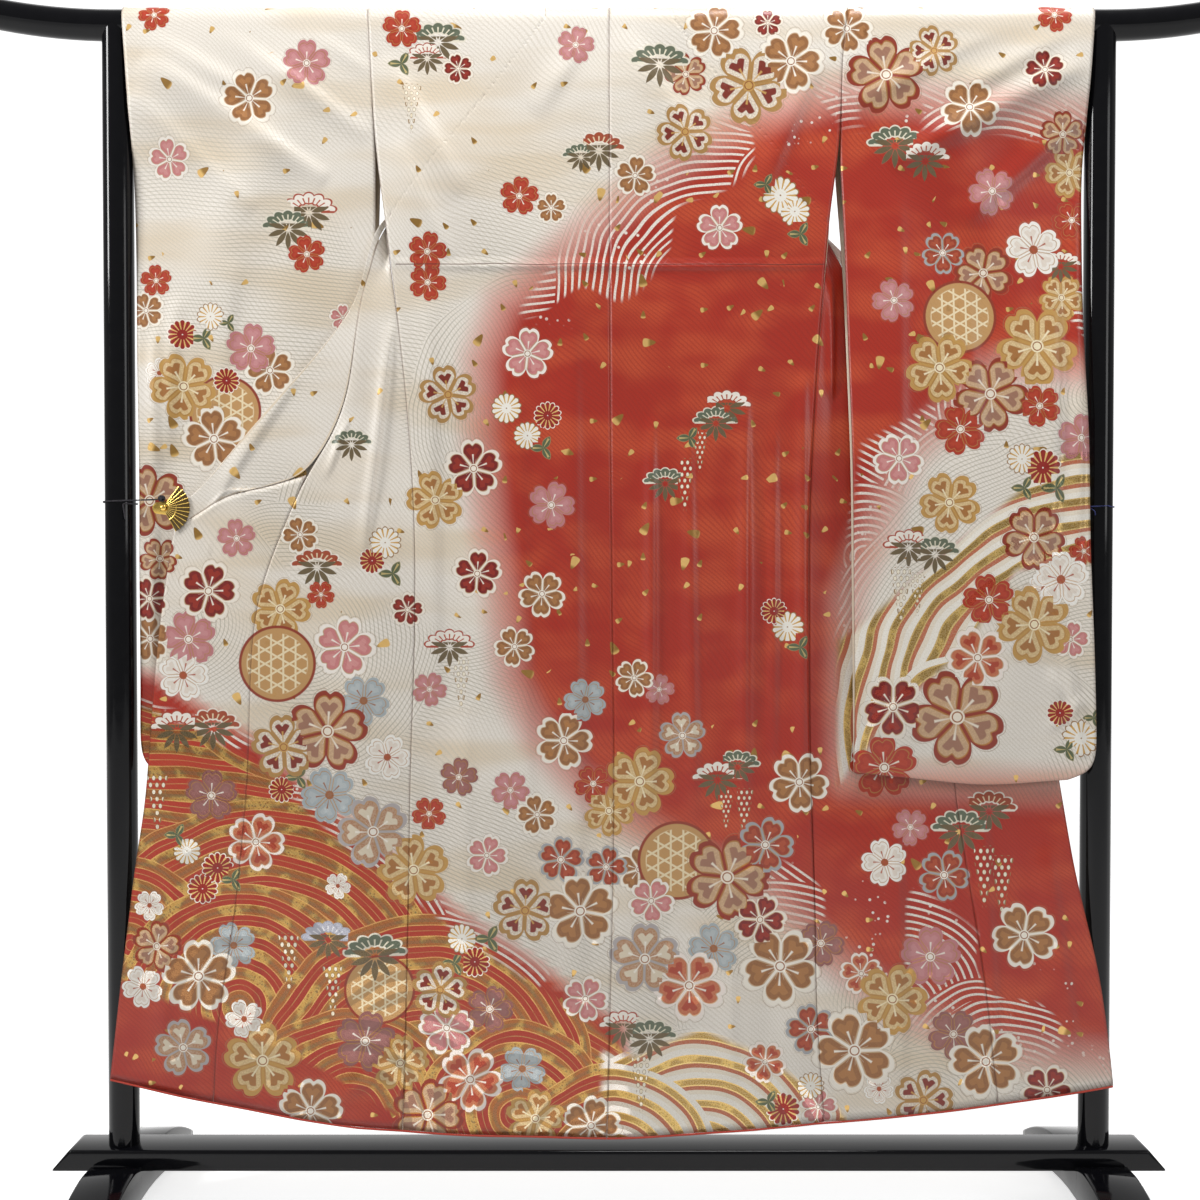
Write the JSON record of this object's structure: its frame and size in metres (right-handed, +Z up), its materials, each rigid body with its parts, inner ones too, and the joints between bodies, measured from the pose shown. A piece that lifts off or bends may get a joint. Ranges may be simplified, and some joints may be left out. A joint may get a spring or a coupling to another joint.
{
  "type": "furisode kimono on a kimono stand",
  "caption": "Long-sleeved silk kimono hung spread over the rail of a lacquered stand, its fronts drawn out by clips on cords.",
  "frame": {"origin": "on the floor under the middle of the stand", "axes": "+X to the right along the rail seen from the kimono's back, +Y away from that side, +Z up"},
  "size_m": [1.9, 0.42, 1.7193],
  "materials": {
    "lacquer": "black gloss lacquer",
    "dyed_silk": "satin silk, dyed cream and vermilion with traditional flowers and waves",
    "pale_lining": "plain silk lining",
    "red_lining": "vermilion silk lining",
    "gilt": "gilt metal",
    "black_cord": "braided black cord",
    "blue_cord": "dark blue thread"
  },
  "bodies": {
    "root": {"rail": "lacquer", "left_post": "lacquer", "right_post": "lacquer", "base_beam": "lacquer", "left_foot": "lacquer", "right_foot": "lacquer", "left_body": "dyed_silk", "right_body": "dyed_silk", "left_okumi": "dyed_silk", "right_okumi": "dyed_silk", "left_sleeve": "dyed_silk", "right_sleeve": "dyed_silk", "collar": "dyed_silk", "over_collar": "dyed_silk", "left_lining": "pale_lining", "right_lining": "pale_lining", "left_hem_lining": "red_lining", "right_hem_lining": "red_lining", "fan_clip": "gilt", "clip_hub": "gilt", "clip_jaw": "gilt", "left_knot": "black_cord", "left_cord": "black_cord", "right_clip": "gilt", "right_cord": "blue_cord"}
  },
  "joints": []
}
